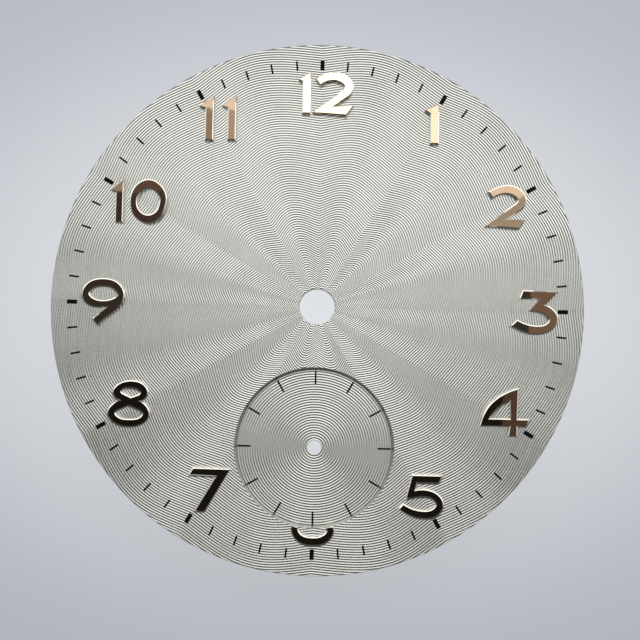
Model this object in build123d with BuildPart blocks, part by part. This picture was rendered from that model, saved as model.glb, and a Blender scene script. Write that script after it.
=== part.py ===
from build123d import *
from collections import namedtuple
import os
from math import cos, radians, sin

# A watch dial, in millimetres. Z = 0 is the back of the plate and +Z comes out of the face.
# +Y points to 12 o'clock, +X to 3 o'clock, and the Z axis is the axis of the centre hole.

# Plate
dial_radius = 15.05
plate_thickness = 0.4
edge_bevel = 0.05
centre_hole_radius = 1.0

# Minute track, printed on the plate
hours = 12
minutes_per_hour_mark = 5
rim_margin = 0.91
hour_mark_length = 0.58
hour_mark_width = 0.235
minute_mark_length = 0.555
minute_mark_width = 0.105
ink_thickness = 0.02

# Applied numerals: a straight wall stands on the plate, and a slope leads up to the top face
numeral_height = 2.3
numeral_gap = 0.31
numeral_wall = 0.10
bevel_height = 0.04
bevel_run = 0.06
pin_radius = 0.1
pin_clearance = 0.02

# Small seconds: a disc let into the back, seen through a flared opening that cuts the 6 short
seconds_opening_radius = 4.5
seconds_flare = 0.15
seconds_depth = 0.2
seconds_reach_share = 0.13
seconds_ledge = 0.35
seat_clearance = 0.02
seconds_hole_radius = 0.4
seconds_mark_length = 0.73
seconds_mark_width = 0.1
seconds_mark_gap = 0.05
cut_numeral_gap = 0.05

# Feet: copper pins on the back, each with a flange let into the plate
foot_margin = 3.05
foot_radius = 0.375
foot_length = 1.8
foot_tip_chamfer = 0.1
foot_flange_radius = 0.7
foot_flange_thickness = 0.15
foot_flange_clearance = 0.05
foot_angles = {"dial_foot_a": 38, "dial_foot_b": 225}

# Sizes and places that follow
track_radius = dial_radius - rim_margin
numeral_circle_radius = track_radius - hour_mark_length - numeral_gap - numeral_height / 2
seconds_offset = numeral_circle_radius + seconds_reach_share * numeral_height - seconds_opening_radius
seconds_centre = (0, -seconds_offset)
seconds_floor_radius = seconds_opening_radius - seconds_flare
seconds_seat_radius = seconds_opening_radius + seconds_ledge
disc_thickness = plate_thickness - seconds_depth
pin_hole_radius = pin_radius + pin_clearance
slope_level = plate_thickness + numeral_wall
top_level = slope_level + bevel_height

# The figures are drawn in shares of numeral_height, from the lower left corner of each. In an
# outline, a stretch of one point is a corner and a stretch of several points is a smooth curve.
# Straight lines join the stretches, and an outline of one stretch is one closed curve. A bold
# figure's top face stands this far outside what is drawn.
Figure = namedtuple("Figure", "outline_shares eyes_shares pins_shares bold_share", defaults=(0,))
bold_share = 0.01

# An ellipse is a smooth curve through this many points, and no tip of an outline that has grown
# lies further out than this many times the growth
ellipse_points = 8
tip_reach_share = 1.5

# The headings at a curve's ends are taken at the length that they have, which keeps it from swinging
# out beside them
unit_tangents = (1, 1)


def ellipse_shares(centre_shares, half_axis_shares):
    """Give one closed curve through evenly turned points of an ellipse."""
    turns = [radians(360 / ellipse_points * step) for step in range(ellipse_points)]
    across = [centre_shares[0] + half_axis_shares[0] * cos(turn) for turn in turns]
    up = [centre_shares[1] + half_axis_shares[1] * sin(turn) for turn in turns]
    return (tuple(zip(across, up)),)


def half_turn_shares(outline_shares, frame_shares):
    """Turn an outline half a turn inside a frame of this width and height."""
    width_share, height_share = frame_shares
    return tuple(tuple((width_share - x, height_share - y) for x, y in stretch) for stretch in outline_shares)


# A 1 is a stem with a flag: its height, its stem's width, how far the flag reaches to the left of
# the stem, how far its end drops from the top, and how far down it meets the stem
one_alone_shares = (0.95, 0.168, 0.12, 0.138, 0.22)
one_of_ten_shares = (1.015, 0.145, 0.125, 0.235, 0.29)
one_of_eleven_shares = (1.06, 0.16, 0.145, 0.23, 0.28)
one_of_twelve_shares = (0.987, 0.157, 0.09, 0.16, 0.20)

# The pins of a 1 stand this far below its top and above its foot
upper_pin_share = 0.25
lower_pin_share = 0.15


def one_figure(one_shares):
    """Draw a 1 from its five sizes."""
    height_share, stem_share, reach_share, drop_share, neck_share = one_shares
    right_share = reach_share + stem_share
    middle_share = reach_share + stem_share / 2
    return Figure(
        outline_shares=(
            ((0, height_share - drop_share),),
            ((right_share, height_share),),
            ((right_share, 0),),
            ((reach_share, 0),),
            ((reach_share, height_share - neck_share),),
        ),
        eyes_shares=(),
        pins_shares=((middle_share, height_share - upper_pin_share), (middle_share, lower_pin_share)),
    )


two_outline_shares = (
    ((0.055, 0.86), (0.22, 0.95), (0.485, 1.015), (0.75, 0.94), (0.92, 0.70), (0.81, 0.465)),
    ((0.39, 0.16),),
    ((0.91, 0.185),),
    ((0.77, 0.0),),
    ((0.0, 0.04),),
    ((0.648, 0.525), (0.765, 0.68), (0.655, 0.81), (0.45, 0.865), (0.135, 0.75)),
)
two_pins_shares = ((0.83, 0.70), (0.45, 0.085))
two = Figure(two_outline_shares, (), two_pins_shares, bold_share)

three_outline_shares = (
    ((0.25, 1.015),),
    ((1.04, 1.01),),
    (
        (0.725, 0.68), (0.93, 0.59), (1.065, 0.40), (0.97, 0.155),
        (0.60, 0.0), (0.24, 0.065), (0.0, 0.18),
    ),
    (
        (0.105, 0.28), (0.30, 0.195), (0.60, 0.15), (0.85, 0.225),
        (0.91, 0.34), (0.80, 0.49), (0.60, 0.55), (0.425, 0.56),
    ),
    ((0.69, 0.86),),
    ((0.19, 0.865),),
)
three_pins_shares = ((0.5, 0.94), (0.60, 0.075))
three = Figure(three_outline_shares, (), three_pins_shares, bold_share)

four_outline_shares = (
    ((0.005, 0.24), (0.06, 0.42), (0.2, 0.68), (0.45, 0.915), (0.68, 1.045), (0.895, 1.125)),
    ((0.875, 0.38),),
    ((1.175, 0.38),),
    ((1.09, 0.245),),
    ((0.875, 0.245),),
    ((0.875, 0.005),),
    ((0.70, 0.005),),
    ((0.735, 0.24),),
)
four_eye_shares = (
    ((0.19, 0.385), (0.265, 0.52), (0.395, 0.675), (0.56, 0.80), (0.725, 0.875)),
    ((0.74, 0.385),),
)
four_pins_shares = ((0.81, 0.7), (0.30, 0.31))
four = Figure(four_outline_shares, (four_eye_shares,), four_pins_shares)

five_outline_shares = (
    ((0.285, 0.985),),
    ((0.975, 0.985),),
    ((0.89, 0.86),),
    ((0.365, 0.86),),
    (
        (0.315, 0.615), (0.58, 0.64), (0.90, 0.52), (1.01, 0.315),
        (0.88, 0.08), (0.54, 0.0), (0.2, 0.08), (0.0, 0.2),
    ),
    (
        (0.065, 0.275), (0.27, 0.175), (0.54, 0.125), (0.80, 0.185),
        (0.88, 0.315), (0.78, 0.47), (0.55, 0.525), (0.15, 0.46),
    ),
)
five_pins_shares = ((0.6, 0.92), (0.54, 0.063))
five = Figure(five_outline_shares, (), five_pins_shares, bold_share)

seven_outline_shares = (
    ((0.085, 1.005),),
    ((0.935, 0.998),),
    ((0.37, 0.015),),
    ((0.175, 0.015),),
    ((0.67, 0.865),),
    ((0.01, 0.885),),
)
seven_pins_shares = ((0.4, 0.95), (0.43, 0.30))
seven = Figure(seven_outline_shares, (), seven_pins_shares, bold_share)

eight_outline_shares = (
    (
        (0.33, 0.607), (0.2, 0.68), (0.117, 0.81), (0.24, 0.985), (0.513, 1.067),
        (0.82, 0.985), (0.92, 0.82), (0.84, 0.67), (0.696, 0.597),
    ),
    (
        (0.696, 0.597), (0.88, 0.49), (0.973, 0.295), (0.88, 0.12), (0.513, 0.0),
        (0.13, 0.115), (0.0, 0.315), (0.09, 0.48), (0.33, 0.607),
    ),
)
eight_upper_eye_shares = (
    (
        (0.32, 0.752), (0.26, 0.828), (0.33, 0.92), (0.51, 0.95),
        (0.70, 0.915), (0.785, 0.825), (0.73, 0.73),
    ),
    ((0.533, 0.655),),
)
eight_lower_eye_shares = (
    (
        (0.21, 0.396), (0.135, 0.305), (0.21, 0.19), (0.513, 0.127),
        (0.77, 0.18), (0.853, 0.305), (0.78, 0.40),
    ),
    ((0.493, 0.523),),
)
eight_pins_shares = ((0.513, 1.008), (0.513, 0.063))
eight_eyes_shares = (eight_upper_eye_shares, eight_lower_eye_shares)
eight = Figure(eight_outline_shares, eight_eyes_shares, eight_pins_shares, bold_share)

nine_frame_shares = (0.984, 1.092)
nine_outline_shares = (
    (
        (0.66, 0.435), (0.38, 0.436), (0.15, 0.49), (0.0, 0.722), (0.15, 1.0),
        (0.483, 1.092), (0.82, 1.005), (0.984, 0.74), (0.923, 0.516), (0.783, 0.356), (0.37, 0.0),
    ),
    ((0.295, 0.127),),
)
nine_eye_centre_shares = (0.497, 0.752)
nine_eye_half_axis_shares = (0.375, 0.204)
nine_eye_shares = ellipse_shares(nine_eye_centre_shares, nine_eye_half_axis_shares)
nine_pins_shares = ((0.49, 1.024), (0.53, 0.235))
nine = Figure(nine_outline_shares, (nine_eye_shares,), nine_pins_shares, bold_share)

# The 6 is the 9 turned half a turn. Its pins stand in the part that the opening leaves.
six_outline_shares = half_turn_shares(nine_outline_shares, nine_frame_shares)
six_eye_shares = half_turn_shares(nine_eye_shares, nine_frame_shares)
six_pins_shares = ((0.215, 0.134), (0.773, 0.134))
six = Figure(six_outline_shares, (six_eye_shares,), six_pins_shares, bold_share)

zero_centre_shares = (0.43, 0.525)
zero_half_axis_shares = (0.43, 0.525)
zero_eye_centre_shares = (0.43, 0.515)
zero_eye_half_axis_shares = (0.30, 0.35)
zero_outline_shares = ellipse_shares(zero_centre_shares, zero_half_axis_shares)
zero_eye_shares = ellipse_shares(zero_eye_centre_shares, zero_eye_half_axis_shares)
zero_pins_shares = ((0.43, 0.957), (0.43, 0.083))
zero = Figure(zero_outline_shares, (zero_eye_shares,), zero_pins_shares)

figures = {
    "one alone": one_figure(one_alone_shares),
    "one of ten": one_figure(one_of_ten_shares),
    "one of eleven": one_figure(one_of_eleven_shares),
    "one of twelve": one_figure(one_of_twelve_shares),
    "zero": zero,
    "two": two,
    "three": three,
    "four": four,
    "five": five,
    "six": six,
    "seven": seven,
    "eight": eight,
    "nine": nine,
}

# Each applied numeral: its hour, its figure, and its lower left corner from the hour's point
numeral_shares = {
    "numeral_12_one": (12, "one of twelve", (-0.545, -0.44)),
    "numeral_12_two": (12, "two", (-0.17, -0.46)),
    "numeral_1": (1, "one alone", (-0.027, -0.432)),
    "numeral_2": (2, "two", (-0.41, -0.57)),
    "numeral_3": (3, "three", (-0.46, -0.535)),
    "numeral_4": (4, "four", (-0.52, -0.413)),
    "numeral_5": (5, "five", (-0.50, -0.505)),
    "numeral_6": (6, "six", (-0.483, -0.509)),
    "numeral_7": (7, "seven", (-0.37, -0.47)),
    "numeral_8": (8, "eight", (-0.47, -0.374)),
    "numeral_9": (9, "nine", (-0.487, -0.535)),
    "numeral_10_one": (10, "one of ten", (-0.574, -0.617)),
    "numeral_10_zero": (10, "zero", (-0.096, -0.635)),
    "numeral_11_left": (11, "one of eleven", (-0.365, -0.452)),
    "numeral_11_right": (11, "one of eleven", (0.191, -0.439)),
}


def hour_direction(hour):
    """Give the direction from the centre to an hour, clockwise from 12."""
    return Vector(0, 1).rotate(Axis.Z, -360 / hours * hour)


def from_corner(corner, point_shares):
    """Give the place of a point that lies these shares of a numeral from its corner."""
    return corner + Vector(*point_shares) * numeral_height


def numeral_corner(hour, corner_shares):
    """Give the lower left corner of a numeral."""
    return from_corner(hour_direction(hour) * numeral_circle_radius, corner_shares)


def outer_side(points):
    """Tell on which side of its points the outside of an outline lies: 1 for right, -1 for left."""
    turning = sum(a.X * b.Y - a.Y * b.X for a, b in zip(points, points[1:] + points[:1]))
    return 1 if turning > 0 else -1


def line_heading(stretch, following):
    """Give the heading of the line between two stretches, or nothing where they meet."""
    step = following[0] - stretch[-1]
    return step.normalized() if step.length > 0 else None


def outward(heading_in, heading_out, side):
    """Give how a point moves for a growth of one: square to both headings, and further at a tip."""
    square_in = heading_in.rotate(Axis.Z, -90 * side)
    square_out = heading_out.rotate(Axis.Z, -90 * side)
    move = (square_in + square_out) / (1 + square_in.dot(square_out))
    return move * min(1, tip_reach_share / move.length)


def grown_stretches(stretches, curves, growth):
    """Move every point of an outline outward by growth."""
    side = outer_side([point for stretch in stretches for point in stretch])
    grown = []
    for index, (stretch, curve) in enumerate(zip(stretches, curves)):
        following = (index + 1) % len(stretches)
        along = [curve % curve.param_at_point(point) for point in stretch] if curve else []
        if len(stretches) == 1:
            headings = list(zip(along, along))
        else:
            heading_in = line_heading(stretches[index - 1], stretch) or curves[index - 1] % 1
            heading_out = line_heading(stretch, stretches[following]) or curves[following] % 0
            headings = list(zip([heading_in] + along[1:], along[:-1] + [heading_out]))
        grown.append([point + outward(*pair, side) * growth for point, pair in zip(stretch, headings)])
    return grown


def outline_face(outline_shares, growth):
    """Draw a closed outline, moved outward all round by growth."""
    stretches = [[Vector(*point) * numeral_height for point in stretch] for stretch in outline_shares]
    closed = len(stretches) == 1
    curves = [Spline(*stretch, periodic=closed) if len(stretch) > 1 else None for stretch in stretches]
    grown = grown_stretches(stretches, curves, growth)
    with BuildSketch() as face:
        with BuildLine():
            for index, (stretch, curve) in enumerate(zip(grown, curves)):
                following = (index + 1) % len(grown)
                if closed:
                    Spline(*stretch, periodic=True)
                elif curve:
                    Spline(*stretch, tangents=(curve % 0, curve % 1), tangent_scalars=unit_tangents)
                if not closed and line_heading(stretches[index], stretches[following]):
                    Line(stretch[-1], grown[following][0])
        make_face()
    return face.sketch


def raised_outline(outline_shares, top_growth, slope_growth):
    """Raise an outline from the plate, with a slope that leads in to its top face."""
    base = outline_face(outline_shares, top_growth + slope_growth)
    with BuildPart() as raised:
        for level in (plate_thickness, slope_level):
            with BuildSketch(Plane.XY.offset(level)):
                add(base)
        with BuildSketch(Plane.XY.offset(top_level)):
            add(outline_face(outline_shares, top_growth))
        loft(ruled=True)
    return raised.part


def pin_points(hour, figure_name, corner_shares):
    """Give the places of a numeral's pins."""
    corner = numeral_corner(hour, corner_shares)
    return [from_corner(corner, point) for point in figures[figure_name].pins_shares]


def foot_point(angle):
    """Give the place of a foot, its angle anticlockwise from 3 o'clock."""
    return Vector(dial_radius - foot_margin, 0).rotate(Axis.Z, angle)


os.makedirs("parts", exist_ok=True)

# The plate, bevelled at its rim and its centre hole, with the holes for the numerals' pins and the
# recesses for the feet
all_pin_points = [point for places in numeral_shares.values() for point in pin_points(*places)]
with BuildPart() as dial_plate:
    with BuildSketch():
        Circle(dial_radius)
        Circle(centre_hole_radius, mode=Mode.SUBTRACT)
        with Locations(*all_pin_points):
            Circle(pin_hole_radius, mode=Mode.SUBTRACT)
    extrude(amount=plate_thickness)
    rings = dial_plate.edges().filter_by(GeomType.CIRCLE).group_by(SortBy.RADIUS)
    chamfer([ring.sort_by(Axis.Z)[-1] for ring in (rings[-1], rings[-2])], edge_bevel)
    with BuildSketch():
        with Locations(seconds_centre):
            Circle(seconds_seat_radius)
    extrude(amount=disc_thickness, mode=Mode.SUBTRACT)
    with BuildSketch(Plane.XY.offset(disc_thickness)):
        with Locations(seconds_centre):
            Circle(seconds_floor_radius)
    with BuildSketch(Plane.XY.offset(plate_thickness)):
        with Locations(seconds_centre):
            Circle(seconds_opening_radius)
    loft(mode=Mode.SUBTRACT)
    with BuildSketch():
        with Locations(*[foot_point(angle) for angle in foot_angles.values()]):
            Circle(foot_flange_radius + foot_flange_clearance)
    extrude(amount=foot_flange_thickness, mode=Mode.SUBTRACT)
dial_plate.part.label = "dial_plate"
export_step(dial_plate.part, "parts/dial_plate.step")

# The disc of the small seconds, flush with the back of the plate
with BuildPart() as seconds_disc:
    with BuildSketch():
        with Locations(seconds_centre):
            Circle(seconds_seat_radius - seat_clearance)
            Circle(seconds_hole_radius, mode=Mode.SUBTRACT)
    extrude(amount=disc_thickness)
seconds_disc.part.label = "seconds_disc"
export_step(seconds_disc.part, "parts/seconds_disc.step")

# The applied numerals, one piece per digit, each with two pins through the plate
for name, (hour, figure_name, corner_shares) in numeral_shares.items():
    figure = figures[figure_name]
    boldness = figure.bold_share * numeral_height
    with BuildPart() as numeral:
        with Locations(numeral_corner(hour, corner_shares)):
            add(raised_outline(figure.outline_shares, boldness, bevel_run))
            for eye_shares in figure.eyes_shares:
                add(raised_outline(eye_shares, -boldness, -bevel_run), mode=Mode.SUBTRACT)
        with BuildSketch(Plane.XY.offset(plate_thickness)):
            with Locations(seconds_centre):
                Circle(seconds_opening_radius + cut_numeral_gap)
        extrude(amount=numeral_wall + bevel_height, mode=Mode.SUBTRACT)
        with BuildSketch():
            with Locations(*pin_points(hour, figure_name, corner_shares)):
                Circle(pin_radius)
        extrude(amount=plate_thickness)
    numeral.part.label = name
    export_step(numeral.part, f"parts/{name}.step")


def printed_marks(centre, level, outer_radius, length, width, start_angles):
    """Print a ring of marks for every start angle, one mark per hour in each."""
    with BuildPart() as marks:
        with BuildSketch(Plane.XY.offset(level)):
            with Locations(centre):
                for start_angle in start_angles:
                    with PolarLocations(outer_radius - length / 2, hours, start_angle=start_angle):
                        Rectangle(length, width)
        extrude(amount=ink_thickness)
    return marks.part


# The printed marks: thick ones at the hours, thin ones between them, and those of the seconds
minute_angle = 360 / hours / minutes_per_hour_mark
minute_starts = [minute_angle * step for step in range(1, minutes_per_hour_mark)]
printed = {
    "hour_marks": printed_marks(
        (0, 0), plate_thickness, track_radius, hour_mark_length, hour_mark_width, [0]
    ),
    "minute_marks": printed_marks(
        (0, 0), plate_thickness, track_radius, minute_mark_length, minute_mark_width, minute_starts
    ),
    "seconds_marks": printed_marks(
        seconds_centre, disc_thickness, seconds_floor_radius - seconds_mark_gap,
        seconds_mark_length, seconds_mark_width, [0],
    ),
}
for name, marks in printed.items():
    marks.label = name
    export_step(marks, f"parts/{name}.step")

# The feet, each with its flange in the plate and its tip chamfered
for name, angle in foot_angles.items():
    with BuildPart() as foot:
        with BuildSketch():
            with Locations(foot_point(angle)):
                Circle(foot_flange_radius)
        extrude(amount=foot_flange_thickness)
        with BuildSketch():
            with Locations(foot_point(angle)):
                Circle(foot_radius)
        extrude(amount=-foot_length)
        chamfer(foot.edges().group_by(Axis.Z)[0], foot_tip_chamfer)
    foot.part.label = name
    export_step(foot.part, f"parts/{name}.step")
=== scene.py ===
import bmesh
import bpy
from collections import namedtuple
from math import atan2, ceil, copysign, cos, exp, floor, hypot, pi, radians, sin, tan, tau
from mathutils import Matrix, Vector


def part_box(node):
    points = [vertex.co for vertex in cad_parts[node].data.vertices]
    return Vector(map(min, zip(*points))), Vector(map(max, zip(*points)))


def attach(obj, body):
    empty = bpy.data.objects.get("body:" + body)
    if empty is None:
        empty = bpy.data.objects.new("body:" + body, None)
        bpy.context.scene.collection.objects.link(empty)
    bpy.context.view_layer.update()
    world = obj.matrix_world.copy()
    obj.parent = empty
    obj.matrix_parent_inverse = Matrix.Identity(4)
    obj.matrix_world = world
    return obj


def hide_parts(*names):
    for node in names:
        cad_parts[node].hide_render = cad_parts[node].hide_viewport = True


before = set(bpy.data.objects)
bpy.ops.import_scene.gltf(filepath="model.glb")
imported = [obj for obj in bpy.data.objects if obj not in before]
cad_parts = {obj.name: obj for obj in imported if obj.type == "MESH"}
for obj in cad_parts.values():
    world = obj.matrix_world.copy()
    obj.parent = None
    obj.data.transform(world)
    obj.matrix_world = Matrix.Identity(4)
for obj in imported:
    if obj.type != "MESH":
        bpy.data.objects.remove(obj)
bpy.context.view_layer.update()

# Lengths here are in millimetres, as in the CAD, and meshes and places are turned into metres
MM = 0.001


def circle_angles(steps):
    """Give the angles of even steps round a circle."""
    return [tau * step / steps for step in range(steps)]


# Levels and sizes that the frame gives
dial_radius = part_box("dial_plate")[1].x / MM
face_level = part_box("dial_plate")[1].z / MM
floor_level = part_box("dial_foot_a")[0].z / MM
disc_low, disc_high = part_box("seconds_disc")
disc_level = disc_high.z / MM
disc_radius = (disc_high.x - disc_low.x) / 2 / MM
dial_centre = (0, 0)
seconds_centre = ((disc_low.x + disc_high.x) / 2 / MM, (disc_low.y + disc_high.y) / 2 / MM)

# Sizes of the plate and the disc, as in the CAD
edge_bevel = 0.05
centre_hole_radius = 1.0
opening_radius = 4.5
opening_floor_radius = 4.35
opening_flare = (opening_radius - opening_floor_radius) / (face_level - disc_level)
seconds_hole_radius = 0.4

# The printed marks, as in the CAD. A mark's size is its length and its width.
hours = 12
minutes = 60
minutes_per_hour_mark = minutes // hours
track_radius = 14.14
hour_mark_size = (0.58, 0.235)
minute_mark_size = (0.555, 0.105)
seconds_track_radius = 4.3
seconds_mark_size = (0.73, 0.1)

# The top of the ink lies this far above the engraving, and this is how thick it is
ink_lift = 0.006
ink_film = 0.016

# The engraving: V grooves in rings, none quite as deep as the next
groove_angle = radians(20)
depth_variation = 0.05
depth_step = 2.4

# The plate's rings are waves. They dip towards the centre at every hour, less so near the centre.
wave_pitch = 0.14
wave_height = 0.53
wave_reach = 2.05
wave_lean = 0.3
wave_columns = 384

# The disc's rings are round
ring_pitch = 0.143
ring_columns = 192

# A mark spans fewer columns of the engraving than this to each side of its middle
mark_columns = 4

# Edges sharper than this stay sharp, points nearer than this are one point, and a corner this near
# to a level lies on it
sharp_angle = radians(22)
merge_distance = 1e-4
level_tolerance = 1e-3

# Under the numerals, the holes for their pins are closed this far below the face
pin_hole_cover = 0.1


# Engraved surfaces

Engraving = namedtuple("Engraving", "line pitch columns centre")


def groove_depth(row, pitch):
    """Give how far a row lies below the face: even rows are ridges and odd rows are valleys."""
    if row % 2 == 0:
        return 0
    return pitch / 2 * tan(groove_angle) * (1 - depth_variation * (0.5 + 0.5 * sin(depth_step * row)))


def wave_line(row, column):
    """Give a point of the plate's waves."""
    crest_radius = row * wave_pitch / 2
    angle = tau * column / wave_columns
    from_crest = (hours * angle) % tau - pi
    from_crest -= wave_lean * cos(from_crest / 2)
    drop = (1 - cos(from_crest / 2)) / 2 + (1 - cos(from_crest)) / 4
    height = wave_height * (1 - exp(-(crest_radius / wave_reach) ** 2))
    radius = crest_radius - height * drop
    level = face_level - groove_depth(row, wave_pitch)
    return Vector((radius * cos(angle), radius * sin(angle), level))


def ring_line(row, column):
    """Give a point of the disc's rings."""
    radius = row * ring_pitch / 2
    angle = tau * column / ring_columns
    return Vector((
        seconds_centre[0] + radius * cos(angle),
        seconds_centre[1] + radius * sin(angle),
        disc_level - groove_depth(row, ring_pitch),
    ))


waves = Engraving(wave_line, wave_pitch, wave_columns, dial_centre)
rings = Engraving(ring_line, ring_pitch, ring_columns, seconds_centre)


def rows_between(inner_radius, outer_radius, pitch):
    """Give the rows from one radius to another, and one more at each end."""
    return range(floor(inner_radius / pitch * 2) - 1, ceil(outer_radius / pitch * 2) + 2)


def grid(engraving, rows, columns):
    """Give the points and faces of a stretch of an engraving. All its columns close to a ring."""
    points = [engraving.line(row, column) for row in rows for column in columns]
    width = len(columns)
    steps = width if width == engraving.columns else width - 1
    faces = []
    for row in range(len(rows) - 1):
        for column in range(steps):
            after = (column + 1) % width
            faces.append([
                row * width + column,
                (row + 1) * width + column,
                (row + 1) * width + after,
                row * width + after,
            ])
    return points, faces


def cut_away(points, faces, inside):
    """Cut off what lies where inside(point) is below zero. New points are added to points."""
    values = [inside(point) for point in points]
    crossings = {}

    def crossing(start, end):
        key = (min(start, end), max(start, end))
        if key not in crossings:
            share = values[start] / (values[start] - values[end])
            crossings[key] = len(points)
            points.append(points[start].lerp(points[end], share))
        return crossings[key]

    kept = []
    for face in faces:
        if min(values[corner] for corner in face) >= 0:
            kept.append(face)
            continue
        cut = []
        for start, end in zip(face, face[1:] + face[:1]):
            if values[start] >= 0:
                cut.append(start)
            if (values[start] >= 0) != (values[end] >= 0):
                cut.append(crossing(start, end))
        if len(cut) > 2:
            kept.append(cut)
    return kept


# Meshes and pieces

def add_faces(solid, points, faces):
    """Add faces to a bmesh in metres, without the points that no face uses."""
    used = {}
    for face in faces:
        for corner in face:
            if corner not in used:
                used[corner] = solid.verts.new(points[corner] * MM)
    for face in faces:
        corners = [used[corner] for corner in face]
        if len(set(corners)) > 2:
            solid.faces.new(corners)


def finished_mesh(solid, name):
    """Turn a bmesh into a mesh that is smooth but for its sharp edges."""
    solid.normal_update()
    for face in solid.faces:
        face.smooth = True
    for edge in solid.edges:
        edge.smooth = edge.calc_face_angle(pi) < sharp_angle
    mesh = bpy.data.meshes.new(name)
    solid.to_mesh(mesh)
    solid.free()
    return mesh


def new_piece(name, node, material, mesh):
    """Put a mesh into the scene as a piece that replaces a CAD node."""
    piece = bpy.data.objects.new(name, mesh)
    bpy.context.scene.collection.objects.link(piece)
    mesh.materials.append(material)
    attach(piece, "root")
    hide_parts(node)
    return piece


def open_loops(solid):
    """Give the loops of open edges as lists of points."""
    edges = [edge for edge in solid.edges if len(edge.link_faces) == 1]
    neighbours = {}
    for edge in edges:
        for start, end in (edge.verts, reversed(edge.verts)):
            neighbours.setdefault(start, []).append(end)
    loops = []
    left = dict.fromkeys(neighbours)
    while left:
        point = next(iter(left))
        loop = []
        while point is not None:
            loop.append(point)
            del left[point]
            point = next((other for other in neighbours[point] if other in left), None)
        loops.append(loop)
    return loops


def off_circle(loop, centre, radius):
    """Give how far a loop is from the circle round a centre."""
    places = [(point.co.x / MM, point.co.y / MM) for point in loop]
    middle_x = sum(x for x, y in places) / len(places)
    middle_y = sum(y for x, y in places) / len(places)
    reach = sum(hypot(x - centre[0], y - centre[1]) for x, y in places) / len(places)
    return abs(reach - radius) + hypot(middle_x - centre[0], middle_y - centre[1])


def in_turn(loop, centre):
    """Sort the points of a loop by angle round a centre, and end with the first one, a turn later."""
    placed = []
    for point in loop:
        angle = atan2(point.co.y - centre[1] * MM, point.co.x - centre[0] * MM)
        placed.append((angle, point))
    placed.sort(key=lambda pair: pair[0])
    return placed + [(placed[0][0] + tau, placed[0][1])]


def stitch(solid, upper_loop, lower_loop, centre):
    """Join two loops round a centre with triangles."""
    upper = in_turn(upper_loop, centre)
    lower = in_turn(lower_loop, centre)
    above = below = 0
    while above < len(upper) - 1 or below < len(lower) - 1:
        upper_left = above < len(upper) - 1
        lower_left = below < len(lower) - 1
        if not lower_left or (upper_left and upper[above + 1][0] <= lower[below + 1][0]):
            corners = (upper[above][1], upper[above + 1][1], lower[below][1])
            above += 1
        else:
            corners = (upper[above][1], lower[below + 1][1], lower[below][1])
            below += 1
        if len(set(corners)) == 3:
            solid.faces.new(corners)


def engraved(name, node, material, engraving, rows, limits, is_removed, borders):
    """Copy a CAD node, take faces off it and put an engraved surface in their place.

    limits are the tests that the surface is cut by, and borders are the (centre, radius) of the
    circles where the surface meets what is left of the node."""
    points, faces = grid(engraving, rows, range(engraving.columns))
    for limit in limits:
        faces = cut_away(points, faces, limit)
    solid = bmesh.new()
    solid.from_mesh(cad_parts[node].data)
    bmesh.ops.remove_doubles(solid, verts=solid.verts, dist=merge_distance * MM)
    removed = [face for face in solid.faces if is_removed(face)]
    bmesh.ops.delete(solid, geom=removed, context="FACES")
    lower = open_loops(solid)
    before = set(solid.verts)
    add_faces(solid, points, faces)
    upper = [loop for loop in open_loops(solid) if loop[0] not in before]
    for centre, radius in borders:
        upper_loop = min(upper, key=lambda loop: off_circle(loop, centre, radius))
        lower_loop = min(lower, key=lambda loop: off_circle(loop, centre, radius))
        stitch(solid, upper_loop, lower_loop, centre)
    # What is still open are the holes for the numerals' pins
    for loop in open_loops(solid):
        for point in loop:
            point.co.z = (face_level - pin_hole_cover) * MM
        solid.faces.new(loop)
    bmesh.ops.recalc_face_normals(solid, faces=solid.faces)
    return new_piece(name, node, material, finished_mesh(solid, name))


# Materials

def calculate(tree, operation, *values):
    """Add a calculation with sockets and numbers."""
    node = tree.nodes.new("ShaderNodeMath")
    node.operation = operation
    for socket, value in zip(node.inputs, values):
        if isinstance(value, (int, float)):
            socket.default_value = value
        else:
            tree.links.new(value, socket)
    return node.outputs[0]


def colour_ramp(tree, source, stops, interpolation="LINEAR"):
    """Turn a value into a colour or a level. Each stop is a place and what is there."""
    node = tree.nodes.new("ShaderNodeValToRGB")
    node.color_ramp.interpolation = interpolation
    elements = node.color_ramp.elements
    while len(elements) < len(stops):
        elements.new(0.5)
    for element, (place, value) in zip(elements, stops):
        element.position = place
        element.color = (*value, 1) if isinstance(value, tuple) else (value, value, value, 1)
    tree.links.new(source, node.inputs["Fac"])
    return node.outputs["Color"]


def noise(tree, size, detail=3.0, stretch=None):
    """Add a noise whose blotches are about that many millimetres across."""
    place = tree.nodes.new("ShaderNodeTexCoord")
    texture = tree.nodes.new("ShaderNodeTexNoise")
    texture.inputs["Scale"].default_value = 1 / (size * MM)
    texture.inputs["Detail"].default_value = detail
    source = place.outputs["Object"]
    if stretch:
        mapping = tree.nodes.new("ShaderNodeMapping")
        mapping.inputs["Scale"].default_value = stretch
        tree.links.new(source, mapping.inputs["Vector"])
        source = mapping.outputs["Vector"]
    tree.links.new(source, texture.inputs["Vector"])
    return texture.outputs["Fac"]


def blotches(tree, size, low, high):
    """Give a colour or a level that varies between two over about that many millimetres."""
    return colour_ramp(tree, noise(tree, size), ((0.3, low), (0.7, high)))


def bump(tree, shader, source, height):
    """Raise the surface by a noise, height in millimetres."""
    node = tree.nodes.new("ShaderNodeBump")
    node.inputs["Distance"].default_value = height * MM
    tree.links.new(source, node.inputs["Height"])
    tree.links.new(node.outputs["Normal"], shader.inputs["Normal"])


def surface_material(name, metallic):
    """Make a material for a piece and give it with its node tree and its shader."""
    material = bpy.data.materials.new(name)
    material.use_nodes = True
    shader = material.node_tree.nodes["Principled BSDF"]
    shader.inputs["Metallic"].default_value = metallic
    return material, material.node_tree, shader


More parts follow.
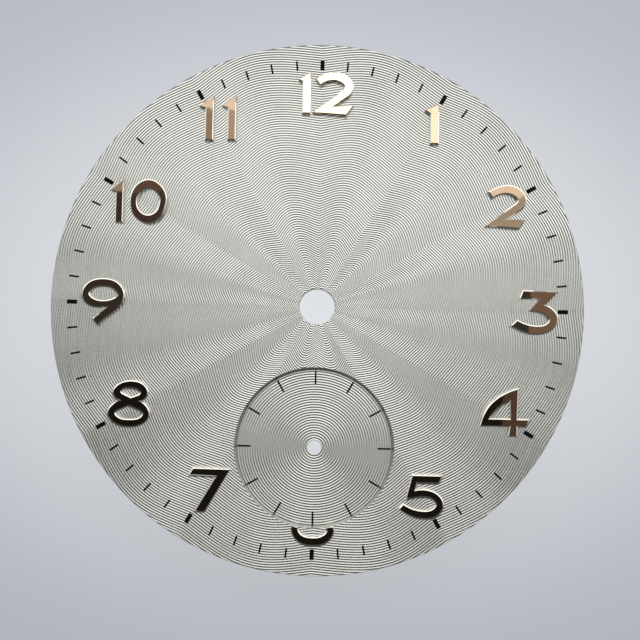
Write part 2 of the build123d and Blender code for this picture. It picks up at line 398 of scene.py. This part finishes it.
def silver(name, low, high):
    """Silvered brass: satin and finely grained."""
    material, tree, shader = surface_material(name, metallic=1)
    tree.links.new(blotches(tree, size=1.6, low=low, high=high), shader.inputs["Base Color"])
    tree.links.new(blotches(tree, size=0.5, low=0.24, high=0.28), shader.inputs["Roughness"])
    bump(tree, shader, noise(tree, size=0.06), height=0.0015)
    return material


def gold():
    """Polished rose gold. The tops of the numerals are warm, and their slopes and walls are painted
    paler, a painted reflection of the silver plate beside them in place of their gold.
    """
    material, tree, shader = surface_material("rose_gold", metallic=1)
    top = blotches(tree, size=0.8, low=(0.87, 0.62, 0.41), high=(0.92, 0.67, 0.46))
    # Painted reflection: the walls and slopes get a pale silvery colour instead of the gold
    side = blotches(tree, size=0.3, low=(0.64, 0.60, 0.52), high=(0.70, 0.66, 0.58))
    shape = tree.nodes.new("ShaderNodeNewGeometry")
    split = tree.nodes.new("ShaderNodeSeparateXYZ")
    tree.links.new(shape.outputs["True Normal"], split.inputs[0])
    mix = tree.nodes.new("ShaderNodeMixRGB")
    # Faces turned sideways take the painted reflection, and faces turned up keep the gold
    facing_up = colour_ramp(tree, split.outputs["Z"], ((0.88, 0.0), (0.96, 1.0)))
    tree.links.new(facing_up, mix.inputs["Fac"])
    tree.links.new(side, mix.inputs["Color1"])
    tree.links.new(top, mix.inputs["Color2"])
    tree.links.new(mix.outputs["Color"], shader.inputs["Base Color"])
    tree.links.new(blotches(tree, size=0.15, low=0.02, high=0.04), shader.inputs["Roughness"])
    bump(tree, shader, noise(tree, size=0.6, detail=1.0), height=0.0015)
    return material


def ink():
    """Black printing ink, nearly matt."""
    material, tree, shader = surface_material("black_ink", metallic=0)
    colour = blotches(tree, size=0.05, low=(0.002, 0.002, 0.002), high=(0.006, 0.006, 0.006))
    tree.links.new(colour, shader.inputs["Base Color"])
    tree.links.new(blotches(tree, size=0.08, low=0.4, high=0.6), shader.inputs["Roughness"])
    shader.inputs["Specular IOR Level"].default_value = 0.05
    return material


def copper():
    """Bare copper wire, drawn along its length."""
    material, tree, shader = surface_material("bare_copper", metallic=1)
    colour = blotches(tree, size=0.4, low=(0.60, 0.30, 0.19), high=(0.80, 0.45, 0.30))
    tree.links.new(colour, shader.inputs["Base Color"])
    tree.links.new(blotches(tree, size=0.2, low=0.28, high=0.45), shader.inputs["Roughness"])
    bump(tree, shader, noise(tree, size=0.08, stretch=(1, 1, 0.15)), height=0.003)
    return material


plate_silver = silver("silvered_plate", low=(0.53, 0.53, 0.498), high=(0.57, 0.57, 0.536))
disc_silver = silver("silvered_disc", low=(0.525, 0.525, 0.495), high=(0.565, 0.565, 0.535))
rose_gold = gold()
black_ink = ink()
bare_copper = copper()


# The plate, with its waves cut off at the rim, the centre hole and the seconds opening. A test gives
# zero or more where the surface stays.

def inside_rim(point):
    return dial_radius - edge_bevel + face_level - point.z - hypot(point.x, point.y)


def outside_centre_hole(point):
    return hypot(point.x, point.y) - centre_hole_radius - edge_bevel + face_level - point.z


def from_seconds_axis(point):
    return hypot(point.x - seconds_centre[0], point.y - seconds_centre[1])


def outside_opening(point):
    return from_seconds_axis(point) - opening_floor_radius - opening_flare * (point.z - disc_level)


def is_plate_front(face):
    """Tell whether a face is part of the front, a bevel or the opening's flare."""
    levels = [corner.co.z / MM for corner in face.verts]
    on_front = max(levels) > face_level - level_tolerance
    on_back = min(levels) < level_tolerance
    return on_front and not on_back


engraved(
    "plate_engraved", "dial_plate", plate_silver, waves,
    rows=rows_between(centre_hole_radius, dial_radius + wave_height, wave_pitch),
    limits=(inside_rim, outside_centre_hole, outside_opening),
    is_removed=is_plate_front,
    borders=[
        (dial_centre, dial_radius),
        (dial_centre, centre_hole_radius),
        (seconds_centre, opening_floor_radius),
    ],
)


# The disc of the small seconds

def inside_disc(point):
    return disc_radius - from_seconds_axis(point)


def outside_seconds_hole(point):
    return from_seconds_axis(point) - seconds_hole_radius


def is_disc_front(face):
    """Tell whether a face reaches up to the front. The walls do too, and are stitched anew."""
    levels = [corner.co.z / MM for corner in face.verts]
    return max(levels) > disc_level - level_tolerance


engraved(
    "disc_turned", "seconds_disc", disc_silver, rings,
    rows=rows_between(seconds_hole_radius, disc_radius, ring_pitch),
    limits=(inside_disc, outside_seconds_hole),
    is_removed=is_disc_front,
    borders=[
        (seconds_centre, disc_radius),
        (seconds_centre, seconds_hole_radius),
    ],
)


# The printed marks

hour_angles = circle_angles(hours)
minute_angles = [
    angle for minute, angle in enumerate(circle_angles(minutes)) if minute % minutes_per_hour_mark
]


def mark_film(node, engraving, outer_radius, size, angles):
    """Replace the printed marks of a node with a film of ink that follows the grooves."""
    length, width = size
    inner_radius = outer_radius - length
    rows = rows_between(inner_radius, outer_radius + wave_height, engraving.pitch)
    origin = Vector((*engraving.centre, 0))
    solid = bmesh.new()
    for angle in angles:
        along = Vector((cos(angle), sin(angle), 0))
        across = Vector((-sin(angle), cos(angle), 0))
        middle = round(angle / tau * engraving.columns)
        columns = range(middle - mark_columns, middle + mark_columns + 1)
        points, faces = grid(engraving, rows, columns)
        limits = (
            lambda point: outer_radius - (point - origin).dot(along),
            lambda point: (point - origin).dot(along) - inner_radius,
            lambda point: width / 2 - (point - origin).dot(across),
            lambda point: width / 2 + (point - origin).dot(across),
        )
        for limit in limits:
            faces = cut_away(points, faces, limit)
        for point in points:
            point.z += ink_lift
        add_faces(solid, points, faces)
    bmesh.ops.remove_doubles(solid, verts=solid.verts, dist=merge_distance * MM)
    bmesh.ops.recalc_face_normals(solid, faces=solid.faces)
    for face in solid.faces:
        if face.normal.z < 0:
            face.normal_flip()
    name = node + "_ink"
    piece = new_piece(name, node, black_ink, finished_mesh(solid, name))
    film = piece.modifiers.new("film", "SOLIDIFY")
    film.thickness = ink_film * MM
    film.offset = -1


mark_film("hour_marks", waves, track_radius, hour_mark_size, hour_angles)
mark_film("minute_marks", waves, track_radius, minute_mark_size, minute_angles)
mark_film("seconds_marks", rings, seconds_track_radius, seconds_mark_size, hour_angles)

# The CAD's numerals and feet keep their shapes and get their materials
for name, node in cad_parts.items():
    if name.startswith("numeral"):
        node.material_slots[0].material = rose_gold
    if name.startswith("dial_foot"):
        node.material_slots[0].material = bare_copper


# The room round the dial

white = (1, 1, 1)


def seen_ray(tree):
    """Give 1 for a ray from the camera, a reflection or through glass, and else 0."""
    path = tree.nodes.new("ShaderNodeLightPath")
    total = path.outputs["Is Camera Ray"]
    for name in ("Is Glossy Ray", "Is Transmission Ray"):
        total = calculate(tree, "MAXIMUM", total, path.outputs[name])
    return total


def glowing_material(name):
    """Make a material of light alone, and give it with its glow."""
    material = bpy.data.materials.new(name)
    material.use_nodes = True
    tree = material.node_tree
    tree.nodes.clear()
    output = tree.nodes.new("ShaderNodeOutputMaterial")
    glow = tree.nodes.new("ShaderNodeEmission")
    tree.links.new(glow.outputs[0], output.inputs["Surface"])
    return material, glow


def room_piece(name, points, faces, material):
    """Put up a piece of the room, which isn't part of the object, with points in millimetres."""
    mesh = bpy.data.meshes.new(name)
    mesh.from_pydata([(x * MM, y * MM, z * MM) for x, y, z in points], [], faces)
    mesh.materials.append(material)
    piece = bpy.data.objects.new(name, mesh)
    bpy.context.scene.collection.objects.link(piece)
    return piece


# The floor is round and lies under the feet. It glows for what sees it, with a painted pool of light
# that is palest round the dial, and its matte part keeps the dial's shadow.
floor_radius = 300
floor_sides = 96
floor_matte = (0.12, 0.125, 0.135)
# The painted pool of light: its colour in the middle and at its edge, how far it reaches and how it
# is stretched
pale_middle = (0.70, 0.725, 0.75)
pale_edge = (0.37, 0.385, 0.42)
pale_reach = 23.0
pale_stretch = (0.66, 1, 0)


def pale_floor():
    material, glow = glowing_material("pale_floor")
    tree = material.node_tree
    place = tree.nodes.new("ShaderNodeTexCoord")
    stretch = tree.nodes.new("ShaderNodeMapping")
    stretch.inputs["Scale"].default_value = pale_stretch
    tree.links.new(place.outputs["Object"], stretch.inputs["Vector"])
    reach = tree.nodes.new("ShaderNodeVectorMath")
    reach.operation = "LENGTH"
    tree.links.new(stretch.outputs["Vector"], reach.inputs[0])
    share = calculate(tree, "MULTIPLY", reach.outputs["Value"], 1 / (pale_reach * MM))
    # Painted light: the glow fades from the pool's pale middle to its darker edge
    shade = colour_ramp(tree, share, ((0.1, pale_middle), (1.0, pale_edge)), "EASE")
    tree.links.new(shade, glow.inputs["Color"])
    tree.links.new(seen_ray(tree), glow.inputs["Strength"])
    matte = tree.nodes.new("ShaderNodeBsdfDiffuse")
    matte.inputs["Color"].default_value = (*floor_matte, 1)
    total = tree.nodes.new("ShaderNodeAddShader")
    tree.links.new(matte.outputs[0], total.inputs[0])
    tree.links.new(glow.outputs[0], total.inputs[1])
    tree.links.new(total.outputs[0], tree.nodes["Material Output"].inputs["Surface"])
    return material


floor_edge = [
    (floor_radius * cos(turn), floor_radius * sin(turn), floor_level)
    for turn in circle_angles(floor_sides)
]
room_piece("floor", floor_edge, [range(floor_sides)], pale_floor())

# The world is pale for what sees it, and a plain grey as light
backdrop_colour = (0.62, 0.65, 0.70)
world_grey = (0.5, 0.5, 0.5)


def pale_world():
    world = bpy.data.worlds.new("room")
    world.use_nodes = True
    bpy.context.scene.world = world
    tree = world.node_tree
    tree.nodes.clear()
    output = tree.nodes.new("ShaderNodeOutputWorld")
    mix = tree.nodes.new("ShaderNodeMixShader")
    tree.links.new(seen_ray(tree), mix.inputs[0])
    for socket, colour in zip(mix.inputs[1:], (world_grey, backdrop_colour)):
        background = tree.nodes.new("ShaderNodeBackground")
        background.inputs["Color"].default_value = (*colour, 1)
        tree.links.new(background.outputs[0], socket)
    tree.links.new(mix.outputs[0], output.inputs["Surface"])


pale_world()


def card(name, outline, level, strength, colour=white):
    """Put up a level card that the camera doesn't see, with an outline of (x, y) points."""
    material, glow = glowing_material(name)
    glow.inputs["Color"].default_value = (*colour, 1)
    glow.inputs["Strength"].default_value = strength
    board = room_piece(name, [(x, y, level) for x, y in outline], [range(len(outline))], material)
    board.visible_camera = False


# The camera's own dark front, which the polished numerals mirror. Its lower half is a little pointed.
front_centre = (-2.1, -1.0)
front_width = 29.6
front_rise = 29.3
front_drop = 22.5
front_taper = 1.1
front_sides = 64
front_level = 80.5
front_glow = 0.01
camera_front = []
for turn in circle_angles(front_sides):
    across = cos(turn)
    up = sin(turn)
    if up < 0:
        across = copysign(abs(across) ** front_taper, across)
        up = -abs(up) ** front_taper
    camera_front.append((
        front_centre[0] + front_width * across,
        front_centre[1] + (front_rise if up > 0 else front_drop) * up,
    ))
card("camera_front", camera_front, front_level, front_glow)

# What the numerals mirror beside it: the room behind, and lights for the numerals that the comments
# name. Each card has a left, right, low and high side, a level, a strength and a colour.
behind_level = 81
glow_level = 80.3
overhead_level = 82
warm = (1, 0.8, 0.7)
rosy = (1, 0.8, 0.75)
violet = (1, 0.8, 0.95)
cards = {
    "room_behind": (-46, 46, -40, 15, behind_level, 0.65, white),
    # For the 11
    "room_left": (-15, -9.5, 29.2, 34, glow_level, 0.85, white),
    "room_left_inner": (-12.2, -9.5, 24, 29.2, glow_level, 0.42, white),
    "room_left_outer": (-15, -12.2, 24, 29.2, glow_level, 0.28, white),
    # For the 2
    "room_right": (17, 26, 19.7, 24, glow_level, 0.85, white),
    "room_right_low": (17, 26, 14.5, 19.7, glow_level, 0.37, white),
    # For the 3
    "glow_right": (23.4, 29, 2, 10, glow_level, 0.17, warm),
    "glow_right_inner": (20.5, 23.4, 2, 10, glow_level, 0.04, white),
    # For the 4
    "glow_right_low": (20.6, 24.5, -8, -1, glow_level, 0.075, warm),
    # For the 10
    "warm_left": (-22.3, -15, 19.4, 24, glow_level, 0.11, rosy),
    "warm_left_low": (-22.3, -15, 12, 19.4, glow_level, 0.055, violet),
    "edge_left": (-26, -22.3, 19.5, 24, glow_level, 0.3, white),
    "edge_left_low": (-26, -22.3, 14, 19.5, glow_level, 0.04, white),
    # For the 9
    "glow_left": (-29, -21, 2, 10, glow_level, 0.035, white),
    # For the 12
    "overhead": (-9, 7, 22, 36, overhead_level, 2.5, white),
    # For the 1
    "overhead_right": (7, 17, 22, 36, overhead_level, 1.4, white),
}
for name, (left, right, low, high, level, strength, colour) in cards.items():
    corners = [(left, low), (right, low), (right, high), (left, high)]
    card(name, corners, level, strength, colour)

# A soft dome of light, dim on the 6 o'clock side, at -1, and bright on the 12 o'clock side, at 1
dome_light = (
    (-1.0, 0.06), (-0.76, 0.105), (-0.57, 0.125), (-0.47, 0.165), (-0.38, 0.245), (-0.28, 0.36),
    (-0.19, 0.48), (-0.09, 0.59), (0.0, 0.72), (0.09, 0.86), (0.19, 0.945), (0.29, 1.08),
    (0.38, 1.26), (0.48, 1.49), (0.57, 1.76), (0.67, 1.97), (0.76, 1.99), (0.85, 1.85), (1.0, 2.0),
)
dome_turn = radians(-5)
dome_radius = 130
dome_low = radians(8)
dome_rings = 16
dome_sides = 48

# Away from the middle, the light changes faster from the dim to the bright side
middle_spread = 0.92
side_spread = 0.9


def dome_glow():
    """Make the dome's light, which changes along Y."""
    material, glow = glowing_material("dome")
    tree = material.node_tree
    place = tree.nodes.new("ShaderNodeTexCoord")
    split = tree.nodes.new("ShaderNodeSeparateXYZ")
    tree.links.new(place.outputs["Object"], split.inputs[0])
    off_middle = calculate(tree, "MULTIPLY", split.outputs["X"], split.outputs["X"])
    per_square = side_spread / (dome_radius * MM) ** 2
    spread = calculate(tree, "MULTIPLY_ADD", off_middle, per_square, middle_spread)
    upward = calculate(tree, "MULTIPLY", split.outputs["Y"], spread)
    share = tree.nodes.new("ShaderNodeMapRange")
    share.inputs["From Min"].default_value = -dome_radius * MM
    share.inputs["From Max"].default_value = dome_radius * MM
    tree.links.new(upward, share.inputs["Value"])
    brightest = max(strength for side, strength in dome_light)
    stops = [((side + 1) / 2, strength / brightest) for side, strength in dome_light]
    tree.links.new(colour_ramp(tree, share.outputs[0], stops), glow.inputs["Color"])
    glow.inputs["Strength"].default_value = brightest
    return material


def soft_dome():
    """Put up the dome, from low above the floor's edge to a flat top."""
    points = []
    for ring in range(dome_rings):
        height = dome_low + (pi / 2 - dome_low) * ring / dome_rings
        for turn in circle_angles(dome_sides):
            direction = Vector((cos(turn) * cos(height), sin(turn) * cos(height), sin(height)))
            points.append(direction * dome_radius)
    faces = []
    for ring in range(dome_rings - 1):
        row = ring * dome_sides
        for side in range(dome_sides):
            after = (side + 1) % dome_sides
            faces.append((row + side, row + after, row + dome_sides + after, row + dome_sides + side))
    top = (dome_rings - 1) * dome_sides
    faces.append(range(top, top + dome_sides))
    dome = room_piece("dome", points, faces, dome_glow())
    dome.visible_camera = False
    dome.rotation_euler.z = dome_turn


soft_dome()

# The camera, where the photograph was taken from. Its place is right, up and back from the middle
# of the dial's face, as the camera sees it.
lens = 79.26
sensor_width = 36
nearest_seen = 1
farthest_seen = 10000
roll = radians(-1.24)
swing = radians(-0.35)
tilt = radians(-4.30)
camera_place = Vector((0.16, -0.74, 79.5))


def photo_camera():
    data = bpy.data.cameras.new("camera")
    data.lens = lens
    data.sensor_width = sensor_width
    data.clip_start = nearest_seen * MM
    data.clip_end = farthest_seen * MM
    camera = bpy.data.objects.new("camera", data)
    bpy.context.scene.collection.objects.link(camera)
    turn = (
        Matrix.Rotation(roll, 3, "Z")
        @ Matrix.Rotation(swing, 3, "Y")
        @ Matrix.Rotation(tilt, 3, "X")
    ).transposed()
    place = turn @ camera_place + Vector((0, 0, face_level))
    camera.matrix_world = Matrix.Translation(place * MM) @ turn.to_4x4()
    bpy.context.scene.camera = camera


photo_camera()

bpy.context.scene.view_settings.view_transform = "Standard"
